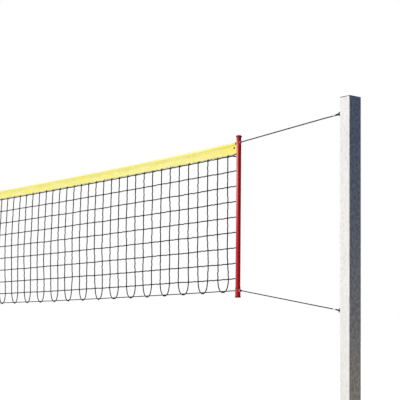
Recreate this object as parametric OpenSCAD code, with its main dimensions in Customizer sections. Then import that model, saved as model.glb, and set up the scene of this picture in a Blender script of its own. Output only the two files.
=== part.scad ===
// Beach volleyball net on two galvanised posts.
// X runs along the net, Y across the court, Z up. The origin lies at ground level midway between the posts.

/* [Court] */
// Height of the net's top edge at the staves
net_top_h = 2430; // [1600:5:2600]
// Distance between the axes of the two staves
net_len = 8500; // [4500:100:9500]
// From a stave's axis to the inner face of its post
stave_to_post = 912; // [600:1:1500]
// How far the net hangs through at its middle
net_sag = 50; // [0:1:120]

/* [Posts] */
// Width of a post along the net
post_w = 80; // [60:1:120]
// Depth of a post across the court
post_d = 100; // [60:1:140]
// Wall of the post tube
post_wall = 4; // [3:0.5:6]
// Corner radius of the post tube
post_r = 7; // [6.5:0.5:12]
// How far a post stands above its upper hook
post_above = 86; // [64:1:400]
// Thickness of the plate that closes a post below
post_foot_t = 5; // [3:0.5:10]
// Thickness of the cap on a post
cap_t = 4; // [2:0.5:6]
// Depth of the cap's lip inside the tube
cap_lip = 20; // [10:1:40]
// Wall of the cap's lip
cap_lip_wall = 2; // [1.5:0.5:4]

/* [Ground sleeves] */
// Depth of the sleeve that holds a post
sleeve_depth = 400; // [300:10:700]
// Wall of the sleeve
sleeve_wall = 4; // [3:0.5:8]
// Floor of the sleeve
sleeve_floor = 6; // [4:0.5:12]
// Play between post and sleeve on each side
sleeve_play = 2; // [1:0.5:4]

/* [Hooks] */
// Height of the two upper hooks above the net's top edge
top_hook_up = 66; // [20:1:110]
// Height of the two lower hooks below the bottom rope's holes
low_hook_down = 135; // [20:1:250]
// From the post's face to the middle of the hook's eye
hook_reach = 40; // [34:1:60]
// Mean radius of the hook's eye
hook_eye_r = 10; // [9.5:0.5:13]
// Thickness of the hook's bar
hook_bar_d = 7; // [6:0.5:7.5]
// Thickness of the hook's threaded shank
shank_d = 8; // [7:0.5:10]
// Length of the shank inside the post
shank_in = 22; // [16:1:34]
// Outer diameter of the threaded insert's barrel
insert_d = 11; // [10.8:0.1:14]
// Length of the threaded insert's barrel
insert_len = 18; // [10:1:30]
// Diameter of the insert's flange
insert_flange_d = 17; // [15:0.5:24]
// Thickness of the insert's flange
insert_flange_t = 1.5; // [1:0.25:3]
// Diameter of the washer
washer_d = 18; // [16:0.5:24]
// Thickness of the washer
washer_t = 1.6; // [1:0.2:3]
// Width of a hook's lock nut across its corners
nut_d = 15; // [13:0.5:18]
// Thickness of a hook's lock nut
nut_t = 6.5; // [4:0.5:9]

/* [Ropes] */
// Diameter of the top rope
top_rope_d = 7; // [4:0.5:8]
// Diameter of the bottom rope
low_rope_d = 6; // [3:0.5:7]
// Thickness of a thimble's metal
thimble_t = 1.2; // [0.8:0.1:1.5]
// Length of a pressed ferrule
ferrule_len = 22; // [14:1:40]
// Wall of a ferrule
ferrule_wall = 1.6; // [1:0.2:3]

/* [Turnbuckle] */
// Length of the turnbuckle's body
buckle_len = 120; // [90:1:160]
// Diameter of the bosses at the ends of the body
buckle_boss_d = 17; // [15:0.5:22]
// Length of each boss
buckle_boss_len = 16; // [10:1:24]
// Thickness of the two side bars of the body
buckle_bar_d = 7; // [5:0.5:8]
// Free width between the side bars
buckle_gap = 12; // [11:0.5:15]
// Mean radius of the turnbuckle's eyes
buckle_eye_r = 10; // [9.5:0.5:13]
// Thickness of the eyes' bar
buckle_eye_bar = 6; // [5:0.5:6.5]
// Diameter of the turnbuckle's screws
screw_d = 8; // [6:0.5:9]
// Thickness of a screw's lock nut
buckle_nut_t = 5; // [4:0.5:8]

/* [Staves] */
// Diameter of a stave
stave_d = 32; // [25:1:40]
// Wall of the stave's tube
stave_wall = 3; // [2:0.5:5]
// Length of a stave with its caps
stave_len = 1050; // [1040:1:1200]
// How far a stave stands above the net
stave_above = 50; // [46:1:100]
// Lean of a stave, its foot towards the net, in degrees
stave_lean = 0.6; // [0:0.1:1.5]
// Diameter of a stave cap's head
stave_cap_d = 39; // [36:0.5:44]
// Height of a stave cap's head
stave_cap_h = 10; // [4:0.5:14]
// Length of a stave cap's plug
stave_plug = 16; // [10:1:20]
// How far the sleeve on a stave's foot reaches above the bottom rope
foot_sleeve_up = 21; // [14:1:60]
// Wall of the sleeve on a stave's foot
foot_sleeve_wall = 1.5; // [1:0.5:3]

/* [Tape] */
// Height of the tape along the net's top
tape_h = 70; // [56:1:100]
// Thickness of one layer of the tape
tape_cloth = 1.2; // [0.8:0.1:2]
// From a stave's axis to the end of the tape
tape_end = 28; // [24:1:36]
// From a stave's axis to the eyelet at the tape's end
eyelet_in = 43; // [38:1:60]
// From the net's top edge down to the eyelet
eyelet_down = 26; // [22:1:40]
// Outer diameter of an eyelet's flange
eyelet_flange_d = 14; // [12:0.5:18]
// Hole of an eyelet
eyelet_hole = 5; // [4:0.5:8]

/* [Netting] */
// Mesh of the netting
mesh = 100; // [80:5:120]
// Number of mesh rows above the bottom row
rows = 8; // [8:4:8]
// Which strings are drawn, counted from a stave
every_nth = 2; // [2, 4]
// From a stave's axis to the first upright string
first_gap = 107; // [60:1:120]
// From the tape's lower edge to the first string row
tape_drop = 5; // [5:1:12]
// Height of the bottom row with its loops
bottom_row_h = 78; // [50:1:110]
// Thickness of the twine
twine_d = 7; // [3:0.5:8]

/* [Hidden] */
$fn = 48;

// Play of a screw or rope in its hole, and the gap at which a piece rests on its seat
bore_play = 0.2;
seat_gap = 0.3;
// Play of the rope in the tape's hem and in the stave's bushes
hem_play = 0.4;
bush_play = 1;
// Wall, flange width and flange thickness of a stave bush
bush_wall = 1.5;
bush_flange = 3;
bush_flange_t = 1.5;
// The two levels of rope and the two sides of the court
SIDES = [1, -1];
// The rope climbs this much to the stave's hole, over this length beside the stave
end_rise = 10;
rise_len = 100;

stave_x = net_len / 2;
post_face_x = stave_x + stave_to_post;
post_x = post_face_x + post_w / 2;

hem_in_r = top_rope_d / 2 + hem_play;
hem_out_r = hem_in_r + tape_cloth;
hem_z = net_top_h - hem_out_r;
hole_z = hem_z + end_rise;
tape_low_z = net_top_h - tape_h;
row_top_z = tape_low_z - tape_drop;
low_rope_z = row_top_z - mesh * rows - bottom_row_h;
top_hook_h = net_top_h + top_hook_up;
low_hook_h = low_rope_z - low_hook_down;
post_top_h = top_hook_h + post_above;
stave_top = net_top_h + stave_above - hole_z;
low_hole = (hole_z - low_rope_z) / cos(stave_lean);

// Hang of the net at x, height of the hem at x, and the stave's axis at z
function sag_z(x) = -net_sag * (1 - pow(2 * x / net_len, 2));
function end_share(x) = max(0, 1 - (stave_x - abs(x)) / rise_len);
function hem_height(x) = hem_z + sag_z(x) + end_rise * pow(end_share(x), 2);
function stave_at(z) = stave_x - (hole_z - z) * tan(stave_lean);

// Stations along the net where the rope, hem and tape have a section
spans = 16;
inner_x = stave_x - rise_len;
STATIONS = concat(
  [stave_x - tape_end, stave_x - rise_len / 2],
  [for (k = [0:spans]) inner_x * (1 - 2 * k / spans)],
  [-(stave_x - rise_len / 2), -(stave_x - tape_end)]
);

// Outline of a rectangle with round corners, as points
corner_steps = 5;
function round_rect(w, d, r) = [
  for (q = [0:3], s = [0:corner_steps])
    let (a = 90 * (q + s / corner_steps), cx = (q == 0 || q == 3 ? 1 : -1), cy = (q < 2 ? 1 : -1))
      [cx * (w / 2 - r) + r * cos(a), cy * (d / 2 - r) + r * sin(a)]
];

// Places: a post, a point on its inner face with X towards the net, and a stave at its upper hole
module at_post(side) { translate([side * post_x, 0, 0]) children(); }
module facing_net(side) { mirror([side > 0 ? 1 : 0, 0, 0]) children(); }
module on_face(side, h) {
  translate([side * post_face_x, 0, h]) facing_net(side) children();
}
module on_stave(side) {
  translate([side * stave_x, 0, hole_z]) rotate([0, side * stave_lean, 0]) children();
}

// ---- Posts and sleeves ----

module ground_sleeve(side) {
  in_w = post_w + 2 * sleeve_play;
  in_d = post_d + 2 * sleeve_play;
  color("darkgray") at_post(side) difference() {
    translate([0, 0, -sleeve_depth - sleeve_floor]) linear_extrude(sleeve_depth + sleeve_floor)
      polygon(round_rect(in_w + 2 * sleeve_wall, in_d + 2 * sleeve_wall, post_r + sleeve_wall));
    translate([0, 0, -sleeve_depth]) linear_extrude(sleeve_depth + 1)
      polygon(round_rect(in_w, in_d, post_r));
  }
}

module post(side) {
  tube_len = post_top_h - cap_t + sleeve_depth;
  color("lightgray") difference() {
    at_post(side) translate([0, 0, -sleeve_depth]) linear_extrude(tube_len)
      polygon(round_rect(post_w, post_d, post_r));
    at_post(side) translate([0, 0, -sleeve_depth + post_foot_t]) linear_extrude(tube_len)
      polygon(round_rect(post_w - 2 * post_wall, post_d - 2 * post_wall, post_r - post_wall));
    for (h = [top_hook_h, low_hook_h]) on_face(side, h)
      translate([-post_wall - 1, 0, 0]) rotate([0, 90, 0])
        cylinder(d = insert_d + bore_play, h = post_wall + 2);
  }
}

module post_cap(side) {
  lip_w = post_w - 2 * post_wall - 2 * seat_gap;
  lip_d = post_d - 2 * post_wall - 2 * seat_gap;
  lip_r = post_r - post_wall;
  color("dimgray") at_post(side) translate([0, 0, post_top_h - cap_t]) {
    linear_extrude(cap_t) polygon(round_rect(post_w, post_d, post_r));
    difference() {
      translate([0, 0, -cap_lip]) linear_extrude(cap_lip + cap_t / 2)
        polygon(round_rect(lip_w, lip_d, lip_r));
      translate([0, 0, -cap_lip - 1]) linear_extrude(cap_lip + 1)
        polygon(round_rect(lip_w - 2 * cap_lip_wall, lip_d - 2 * cap_lip_wall, lip_r / 2));
    }
  }
}

// ---- Hooks on the posts' inner faces ----

// An open eye: the shank runs out of the post, and the bar goes round below and ends above the far side
hook_sweep = 285;
// Turns the knuckle's poles and seam clear of the bar and the shank
knuckle_turn = [35, 20, 0];
module hook(side, h) {
  ball_r = hook_bar_d / 2 + 0.2;
  color("silver") on_face(side, h) {
    translate([-shank_in, 0, 0]) rotate([0, 90, 0])
      cylinder(d = shank_d, h = shank_in + hook_reach - hook_eye_r);
    translate([hook_reach, 0, 0]) rotate([90, 0, 0]) {
      rotate([0, 0, 180]) rotate_extrude(angle = hook_sweep)
        translate([hook_eye_r, 0]) circle(d = hook_bar_d);
      translate([-hook_eye_r, 0, 0]) rotate(knuckle_turn) sphere(r = shank_d / 2 + 0.3);
      rotate([0, 0, 180 + hook_sweep]) translate([hook_eye_r, 0, 0]) sphere(r = ball_r);
    }
  }
}

module ring_along_x(x, od, bore, t) {
  translate([x, 0, 0]) rotate([0, 90, 0]) difference() {
    cylinder(d = od, h = t);
    translate([0, 0, -1]) cylinder(d = bore, h = t + 2);
  }
}

module each_hook() {
  for (side = SIDES, h = [top_hook_h, low_hook_h]) on_face(side, h) children();
}

module hook_inserts() {
  color("gold") each_hook() rotate([0, 90, 0]) difference() {
    union() {
      cylinder(d = insert_flange_d, h = insert_flange_t);
      translate([0, 0, -insert_len]) cylinder(d = insert_d, h = insert_len + insert_flange_t / 2);
    }
    translate([0, 0, -insert_len - 1])
      cylinder(d = shank_d + bore_play, h = insert_len + insert_flange_t + 2);
  }
}

module hook_washers() {
  color("silver") each_hook()
    ring_along_x(insert_flange_t, washer_d, shank_d + bore_play, washer_t);
}

module hook_lock_nuts() {
  color("silver") each_hook() translate([insert_flange_t + washer_t, 0, 0])
    rotate([0, 90, 0]) difference() {
      cylinder(d = nut_d, h = nut_t, $fn = 6);
      translate([0, 0, -1]) cylinder(d = shank_d + bore_play, h = nut_t + 2);
    }
}

// ---- Staves at the net's ends ----

foot_sleeve_t = foot_sleeve_wall + bore_play;
top_bush_d = top_rope_d + bush_play + 2 * bush_wall;
low_bush_d = low_rope_d + bush_play + 2 * bush_wall;

module across(z, d, len) {
  translate([-len / 2, 0, z]) rotate([0, 90, 0]) cylinder(d = d, h = len);
}

module stave(side) {
  tube_len = stave_len - 2 * stave_cap_h;
  color("crimson") on_stave(side) difference() {
    translate([0, 0, stave_top - stave_cap_h - tube_len]) cylinder(d = stave_d, h = tube_len);
    translate([0, 0, stave_top - stave_cap_h - tube_len - 1])
      cylinder(d = stave_d - 2 * stave_wall, h = tube_len + 2);
    across(0, top_bush_d + bore_play, stave_d + 2);
    across(-low_hole, low_bush_d + bore_play, stave_d + 2);
  }
}

module stave_cap() {
  plug_r = stave_d / 2 - stave_wall - bore_play;
  chamfer = stave_cap_h / 3;
  rotate_extrude() polygon([
    [0, -stave_plug], [plug_r - 1, -stave_plug], [plug_r, -stave_plug + 1], [plug_r, 0],
    [stave_cap_d / 2, 0], [stave_cap_d / 2, stave_cap_h - chamfer],
    [stave_cap_d / 2 - chamfer, stave_cap_h], [0, stave_cap_h]
  ]);
}

module stave_caps(side) {
  color("firebrick") on_stave(side) {
    translate([0, 0, stave_top - stave_cap_h]) stave_cap();
    translate([0, 0, stave_top - stave_len + stave_cap_h]) mirror([0, 0, 1]) stave_cap();
  }
}

// A short sleeve over the stave's foot, which the bottom rope passes through
module foot_sleeve(side) {
  foot = stave_top - stave_len + stave_cap_h;
  inner_d = stave_d + 2 * bore_play;
  len = foot_sleeve_up - low_hole - foot;
  color("firebrick") on_stave(side) difference() {
    translate([0, 0, foot]) cylinder(d = inner_d + 2 * foot_sleeve_wall, h = len);
    translate([0, 0, foot - 1]) cylinder(d = inner_d, h = len + 2);
    across(-low_hole, low_bush_d + bore_play, stave_d + 20);
  }
}

module stave_bush(z, rope_d, half) {
  bore = rope_d + bush_play;
  barrel_d = bore + 2 * bush_wall;
  difference() {
    union() {
      across(z, barrel_d, 2 * half - bush_flange_t);
      for (end = SIDES) translate([end * (half - bush_flange_t / 2), 0, 0])
        across(z, barrel_d + 2 * bush_flange, bush_flange_t);
    }
    across(z, bore, 2 * half + 2);
  }
}

module stave_bushes(side) {
  color("whitesmoke") on_stave(side) {
    stave_bush(0, top_rope_d, stave_d / 2 + bush_flange_t);
    stave_bush(-low_hole, low_rope_d, stave_d / 2 + foot_sleeve_t + bush_flange_t);
  }
}

// ---- Ropes with their end loops ----

// A rope's line runs through the middle of its hook's eye
hook_eye_x = post_face_x - hook_reach;
stave_side = stave_d / 2 + bush_flange_t + 1.5;
foot_side = stave_side + foot_sleeve_t;
top_slope = atan2(top_hook_h - hole_z, hook_eye_x - stave_x - stave_side);
low_slope = atan2(low_hook_h - low_rope_z, hook_eye_x - stave_at(low_rope_z) - foot_side);

// From the hook's bar: the turnbuckle's two eyes, its body, and the bar that the left top loop lies on
eye_a_x = buckle_eye_r - hook_bar_d / 2 - seat_gap - buckle_eye_bar / 2;
body_from = 40;
body_to = body_from + buckle_len;
screw_in = 40;
eye_b_x = body_to + screw_in;
left_bar_x = eye_b_x + buckle_eye_r;

// A rope's end, along it from the hook's bar (u) and beside it (v)
loop_half = 15;
ferrule_from = 21;
tail = 4;
settle = 110;
arc_steps = 7;
thimble_play = 0.4;
thimble_edge = 0.5;
function thimble_r(bar) = bar / 2 + thimble_play;
function loop_r(bar, rope) = thimble_r(bar) + thimble_t + 0.15 + rope / 2;
function leg_v(rope) = rope / 2 + 0.25;
function end_route(bar, rope) = let (r = loop_r(bar, rope), v = leg_v(rope), from = 90 - loop_half) concat(
  [[ferrule_from + ferrule_len + tail, -v], [ferrule_from, -v]],
  [for (k = [0:arc_steps]) let (a = -from - (360 - 2 * from) * k / arc_steps) [r * cos(a), r * sin(a)]],
  [[ferrule_from, v], [ferrule_from + ferrule_len + tail, v], [settle, 0]]
);
// How far a loop sits behind its bar's middle, so that the thimble's edges clear the bar, bent to the radius eye
function behind(bar, rope, eye) =
  eye - sqrt(pow(eye - bar / 2, 2) - pow(rope / 2 + thimble_edge, 2)) + bore_play / 2 - thimble_r(bar);

// The same in the whole model: side, height of the hook, slope of the rope, and distance from the hook's bar
function on_rope(p, side, h, slope, off) = let (u = p[0] + off + hook_eye_r)
  [side * (hook_eye_x - u * cos(slope)), p[1], h - u * sin(slope)];
module along_rope(side, h, slope, off = 0) {
  translate([side * hook_eye_x, 0, h]) facing_net(side) rotate([0, slope, 0])
    translate([hook_eye_r + off, 0, 0]) children();
}
function turned_round(list) = [for (k = [len(list) - 1:-1:0]) list[k]];

function unit(v) = v / norm(v);
function along(p, i) = unit(p[min(i + 1, len(p) - 1)] - p[max(i - 1, 0)]);
// A round tube along the points p, one ring at each
module swept_tube(p, d, sides = 8) {
  n = len(p);
  points = [
    for (i = [0:n - 1])
      let (t = along(p, i), s = unit(cross([0, 0, 1], t)), up = cross(t, s))
        for (j = [0:sides - 1]) p[i] + d / 2 * (cos(360 * j / sides) * s + sin(360 * j / sides) * up)
  ];
  walls = [
    for (i = [0:n - 2], j = [0:sides - 1])
      let (a = i * sides + j, b = i * sides + (j + 1) % sides)
        each [[a, a + sides, b + sides], [a, b + sides, b]]
  ];
  first = [for (j = [1:sides - 2]) [0, j, j + 1]];
  last = [for (j = [1:sides - 2]) let (o = (n - 1) * sides) [o, o + j + 1, o + j]];
  polyhedron(points, concat(walls, first, last));
}

top_loop_u = -behind(hook_bar_d, top_rope_d, hook_eye_r);
low_loop_u = -behind(hook_bar_d, low_rope_d, hook_eye_r);
left_loop_u = left_bar_x - behind(buckle_eye_bar, top_rope_d, buckle_eye_r);
function stave_pass(side, z, reach) = [for (end = SIDES) [side * (stave_at(z) + end * reach), 0, z]];

module top_rope() {
  right = [for (p = end_route(hook_bar_d, top_rope_d)) on_rope(p, 1, top_hook_h, top_slope, top_loop_u)];
  left = [
    for (p = end_route(buckle_eye_bar, top_rope_d)) on_rope(p, -1, top_hook_h, top_slope, left_loop_u)
  ];
  color("dimgray") swept_tube(concat(
    right, stave_pass(1, hole_z, stave_side),
    [for (x = STATIONS) [x, 0, hem_height(x)]],
    turned_round(stave_pass(-1, hole_z, stave_side)), turned_round(left)
  ), top_rope_d);
}

module bottom_rope() {
  end = function(side) [
    for (p = end_route(hook_bar_d, low_rope_d)) on_rope(p, side, low_hook_h, low_slope, low_loop_u)
  ];
  inner = stave_at(low_rope_z) - foot_side - 20;
  color("dimgray") swept_tube(concat(
    end(1), stave_pass(1, low_rope_z, foot_side),
    [for (k = [0:spans]) let (x = inner * (1 - 2 * k / spans)) [x, 0, low_rope_z + sag_z(x)]],
    turned_round(stave_pass(-1, low_rope_z, foot_side)), turned_round(end(-1))
  ), low_rope_d);
}

// A drop outline: a circle of radius r closed by two tangents at loop_half degrees to the axis
function drop(r) = let (from = 90 - loop_half) concat(
  [for (k = [0:12]) let (a = from + (360 - 2 * from) * k / 12) [r * cos(a), r * sin(a)]],
  [[r / sin(loop_half), 0]]
);

module thimble(bar, rope) {
  r = thimble_r(bar);
  translate([0, 0, -rope / 2 - thimble_edge]) linear_extrude(rope + 2 * thimble_edge) difference() {
    polygon(drop(r + thimble_t));
    polygon(drop(r));
  }
}

module ferrule(rope) {
  half = leg_v(rope) + rope / 2 + 0.15;
  hole_r = rope / 2 + 0.15;
  module pill(r) {
    rotate([90, 0, 90]) linear_extrude(ferrule_len) {
      square([2 * (half - hole_r), 2 * r], center = true);
      for (end = SIDES) translate([end * (half - hole_r), 0]) circle(r = r);
    }
  }
  translate([ferrule_from, 0, 0]) difference() {
    pill(hole_r + ferrule_wall);
    translate([-1, 0, 0]) scale([(ferrule_len + 2) / ferrule_len, 1, 1]) pill(hole_r);
  }
}

// Where the four loops lie: side, hook height, slope, distance from the hook's bar, bar and rope
LOOPS = [
  [1, top_hook_h, top_slope, top_loop_u, hook_bar_d, top_rope_d],
  [-1, top_hook_h, top_slope, left_loop_u, buckle_eye_bar, top_rope_d],
  [1, low_hook_h, low_slope, low_loop_u, hook_bar_d, low_rope_d],
  [-1, low_hook_h, low_slope, low_loop_u, hook_bar_d, low_rope_d]
];

module rope_thimbles() {
  color("silver") for (l = LOOPS) along_rope(l[0], l[1], l[2], l[3]) thimble(l[4], l[5]);
}

module rope_ferrules() {
  color("gray") for (l = LOOPS) along_rope(l[0], l[1], l[2], l[3]) ferrule(l[5]);
}

// ---- Turnbuckle between the left upper hook and the top rope ----

module in_turnbuckle() { along_rope(-1, top_hook_h, top_slope) children(); }

module eye_ring() {
  rotate_extrude() translate([buckle_eye_r, 0]) circle(d = buckle_eye_bar);
}

module screw(from, to) {
  translate([from, 0, 0]) rotate([0, 90, 0]) cylinder(d = screw_d, h = to - from);
}

module turnbuckle_hook_eye() {
  color("silver") in_turnbuckle() {
    translate([eye_a_x, 0, 0]) eye_ring();
    screw(eye_a_x + buckle_eye_r, body_from + screw_in);
  }
}

module turnbuckle_rope_eye() {
  color("silver") in_turnbuckle() {
    translate([eye_b_x, 0, 0]) rotate([90, 0, 0]) eye_ring();
    screw(body_to - screw_in, eye_b_x - buckle_eye_r);
  }
}

module turnbuckle_nuts() {
  color("silver") in_turnbuckle()
    for (x = [body_from - seat_gap - buckle_nut_t, body_to + seat_gap]) translate([x, 0, 0])
      rotate([0, 90, 0]) difference() {
        cylinder(d = nut_d, h = buckle_nut_t, $fn = 6);
        translate([0, 0, -1]) cylinder(d = screw_d + bore_play, h = buckle_nut_t + 2);
      }
}

module turnbuckle_body() {
  bar_y = buckle_gap / 2 + buckle_bar_d / 2;
  color("lightsteelblue") in_turnbuckle() difference() {
    union() {
      for (x = [body_from, body_to - buckle_boss_len]) translate([x, 0, 0]) rotate([0, 90, 0])
        cylinder(d = buckle_boss_d, h = buckle_boss_len);
      for (end = SIDES) translate([body_from + 1, end * bar_y, 0]) rotate([0, 90, 0])
        cylinder(d = buckle_bar_d, h = buckle_len - 2);
    }
    translate([body_from - 1, 0, 0]) rotate([0, 90, 0])
      cylinder(d = screw_d + bore_play, h = buckle_len + 2);
  }
}

// ---- Tape folded over the top rope ----

// The fold in section, from the back edge over the rope to the front edge, for the radius r round the rope
// and the distance y of the layers from the middle
fold_neck = 9;
fold_steps = 8;
function fold(r, y) = concat(
  [[y, -tape_h + hem_out_r], [y, -fold_neck]],
  [for (k = [0:fold_steps]) let (a = -20 + 220 * k / fold_steps) [r * cos(a), r * sin(a)]],
  [[-y, -fold_neck], [-y, -tape_h + hem_out_r]]
);
layer_gap = 0.4;

module net_tape() {
  outer = fold(hem_out_r, layer_gap + tape_cloth);
  inner = fold(hem_in_r, layer_gap);
  m = len(outer);
  n = 2 * m;
  section = concat(outer, turned_round(inner));
  stations = turned_round(STATIONS);
  last = len(stations) - 1;
  points = [for (x = stations, p = section) [x, p[0], hem_height(x) + p[1]]];
  walls = [
    for (i = [0:last - 1], j = [0:n - 1])
      let (a = i * n + j, b = i * n + (j + 1) % n)
        each [[a, a + n, b + n], [a, b + n, b]]
  ];
  cap = [
    for (k = [0:m - 2]) let (i0 = n - 1 - k, i1 = n - 2 - k) each [[k, k + 1, i1], [k, i1, i0]]
  ];
  far_cap = [for (f = cap) [f[0] + last * n, f[2] + last * n, f[1] + last * n]];
  color("gold") difference() {
    polyhedron(points, concat(walls, cap, far_cap));
    for (side = SIDES) at_eyelet(side) cylinder(d = eyelet_barrel_d + bore_play, h = 20, center = true);
  }
}

eyelet_barrel_d = eyelet_hole + 1.5;
module at_eyelet(side) {
  translate([side * (stave_x - eyelet_in), 0, net_top_h - eyelet_down]) rotate([90, 0, 0]) children();
}

module tape_eyelets() {
  face = layer_gap + tape_cloth + 0.1;
  flange_t = 0.8;
  color("silver") for (side = SIDES) at_eyelet(side) difference() {
    union() {
      cylinder(d = eyelet_barrel_d, h = 2 * face + flange_t, center = true);
      for (end = SIDES) translate([0, 0, end * (face + flange_t / 2)])
        cylinder(d = eyelet_flange_d, h = flange_t, center = true);
    }
    cylinder(d = eyelet_hole, h = 20, center = true);
  }
}

// ---- Netting, with every second string drawn ----

drawn = mesh * every_nth;
cols = floor((net_len - 2 * first_gap) / drawn / 2 + 0.5) * 2;
lines = rows / every_nth;
half_twine = twine_d / 2;
loop_depth = bottom_row_h - half_twine - low_rope_d / 2 - seat_gap;
loop_steps = 8;
function col_x(j) = stave_x - first_gap - drawn * j;
function row_z(i, x) = row_top_z - drawn * i + sag_z(x);
function tape_edge(x) = hem_height(x) + hem_out_r - tape_h - seat_gap;
function row_end(i) = stave_at(row_top_z - drawn * i) - stave_d / 2 - seat_gap;
function under(x) = row_z(lines, x) - half_twine;
// Half an oval hanging from the last row between two strings; grow widens it to the outer or inner edge
function loop_edge(p, grow) = let (mid = col_x(2 * p) - drawn / 2) [
  for (k = [0:loop_steps])
    let (a = -180 * k / loop_steps, x = mid + (drawn / 2 + grow) * cos(a), deep = loop_depth - half_twine + grow)
      [x, under(x) + deep * sin(a)]
];

module net_mesh() {
  last_x = [col_x(0), col_x(cols - 1)];
  top = [
    for (k = [0:cols - 1]) let (x = col_x(cols - 1 - k), z = row_z(0, x) + half_twine) each [
      [x - half_twine, z], [x - half_twine, tape_edge(x)],
      [x + half_twine, tape_edge(x)], [x + half_twine, z]
    ]
  ];
  comb = function(side, x) [
    for (i = [0:lines]) let (e = side * row_end(i), z = row_z(i, e), edge = x + side * half_twine, zc = row_z(i, edge))
      each [
        if (i > 0) [edge, zc + half_twine], [e, z + half_twine], [e, z - half_twine],
        if (i < lines) [edge, zc - half_twine]
      ]
  ];
  bottom = [for (p = [0:cols / 2 - 1]) each loop_edge(p, half_twine)];
  outline = concat(top, comb(1, last_x[0]), bottom, turned_round(comb(-1, last_x[1])));
  cells = [
    for (i = [0:lines - 1], j = [0:cols - 2])
      let (l = col_x(j + 1) + half_twine, r = col_x(j) - half_twine) each [
        [l, row_z(i, l) - half_twine], [r, row_z(i, r) - half_twine],
        [r, row_z(i + 1, r) + half_twine], [l, row_z(i + 1, l) + half_twine]
      ]
  ];
  loops = [for (p = [0:cols / 2 - 1]) each loop_edge(p, -half_twine)];
  a = len(outline);
  b = a + len(cells);
  per_loop = loop_steps + 1;
  paths = concat(
    [[for (k = [0:a - 1]) k]],
    [for (c = [0:len(cells) / 4 - 1]) [for (k = [0:3]) a + 4 * c + k]],
    [for (c = [0:cols / 2 - 1]) [for (k = [0:per_loop - 1]) b + per_loop * c + k]]
  );
  color("black") rotate([90, 0, 0]) linear_extrude(twine_d, center = true)
    polygon(concat(outline, cells, loops), paths);
}

ground_sleeve(1);  // right_ground_sleeve
ground_sleeve(-1);  // left_ground_sleeve
post(1);  // right_post
post(-1);  // left_post
post_cap(1);  // right_post_cap
post_cap(-1);  // left_post_cap
hook(1, top_hook_h);  // right_top_hook
hook(1, low_hook_h);  // right_low_hook
hook(-1, top_hook_h);  // left_top_hook
hook(-1, low_hook_h);  // left_low_hook
hook_inserts();
hook_washers();
hook_lock_nuts();
stave(1);  // right_stave
stave(-1);  // left_stave
stave_caps(1);  // right_stave_caps
stave_caps(-1);  // left_stave_caps
foot_sleeve(1);  // right_foot_sleeve
foot_sleeve(-1);  // left_foot_sleeve
stave_bushes(1);  // right_stave_bushes
stave_bushes(-1);  // left_stave_bushes
top_rope();
bottom_rope();
rope_thimbles();
rope_ferrules();
turnbuckle_body();
turnbuckle_hook_eye();
turnbuckle_rope_eye();
turnbuckle_nuts();
net_tape();
tape_eyelets();
net_mesh();
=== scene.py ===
"""A beach volleyball net on two galvanised posts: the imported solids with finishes, and the ropes, the tape and
the netting made in full. Metres throughout, X along the net, Y across the court, Z up, ground at Z = 0."""
import math

import bmesh
import bpy
import numpy as np
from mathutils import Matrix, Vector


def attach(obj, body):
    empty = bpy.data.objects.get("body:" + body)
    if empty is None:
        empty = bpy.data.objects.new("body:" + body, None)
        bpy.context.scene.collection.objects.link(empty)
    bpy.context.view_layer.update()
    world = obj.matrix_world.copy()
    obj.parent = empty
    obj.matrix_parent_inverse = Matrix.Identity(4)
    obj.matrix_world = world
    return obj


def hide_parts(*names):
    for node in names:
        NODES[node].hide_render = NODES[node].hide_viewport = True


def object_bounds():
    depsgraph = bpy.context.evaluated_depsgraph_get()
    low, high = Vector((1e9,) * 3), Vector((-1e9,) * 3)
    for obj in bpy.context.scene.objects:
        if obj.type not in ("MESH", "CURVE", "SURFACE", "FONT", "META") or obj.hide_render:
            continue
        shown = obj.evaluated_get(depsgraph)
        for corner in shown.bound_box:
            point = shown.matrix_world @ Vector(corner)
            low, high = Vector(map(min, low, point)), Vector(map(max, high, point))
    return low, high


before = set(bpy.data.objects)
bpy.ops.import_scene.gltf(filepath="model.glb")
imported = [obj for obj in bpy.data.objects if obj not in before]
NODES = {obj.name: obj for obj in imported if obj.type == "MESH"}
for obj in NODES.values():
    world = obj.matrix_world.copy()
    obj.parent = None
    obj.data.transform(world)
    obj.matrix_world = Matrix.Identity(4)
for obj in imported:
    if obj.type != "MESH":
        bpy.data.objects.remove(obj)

CAD_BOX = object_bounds()
PI = math.pi
RNG = np.random.default_rng(20)
NET_BODY = "posts_and_net"

# ---- Sizes, the same as in the part's source ----

NET_TOP, NET_LEN, NET_SAG = 2.430, 8.500, 0.050
STAVE_TO_POST, HOOK_REACH, HOOK_EYE_R = 0.912, 0.040, 0.010
TOP_HOOK_H, LOW_HOOK_H, HOOK_BAR = 2.496, 1.342, 0.007
TOP_ROPE, LOW_ROPE, FERRULE_LEN = 0.007, 0.006, 0.022
THIMBLE_T, THIMBLE_EDGE, THIMBLE_PLAY = 0.0012, 0.0005, 0.0004
BUCKLE_LEN, BUCKLE_EYE_R, BUCKLE_EYE_BAR, BODY_FROM, SCREW_IN = 0.120, 0.010, 0.006, 0.040, 0.040
STAVE_D, STAVE_LEAN, FOOT_SLEEVE_T, BUSH_FLANGE_T = 0.032, math.radians(0.6), 0.0017, 0.0015
BUSH_OUT = 0.0015  # a rope is still level this far outside a bush
TAPE_H, TAPE_CLOTH, LAYER_GAP, FOLD_NECK = 0.070, 0.0012, 0.0004, 0.012
EYELET_IN, EYELET_DOWN = 0.043, 0.026
MESH, ROWS, FIRST_GAP, TAPE_DROP, BOTTOM_ROW_H, TWINE = 0.100, 8, 0.107, 0.005, 0.078, 0.007
HEM_PLAY, END_RISE, RISE_LEN = 0.0004, 0.010, 0.100
LOOP_HALF, FERRULE_FROM, TAIL, SETTLE = math.radians(15), 0.021, 0.004, 0.110

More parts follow.
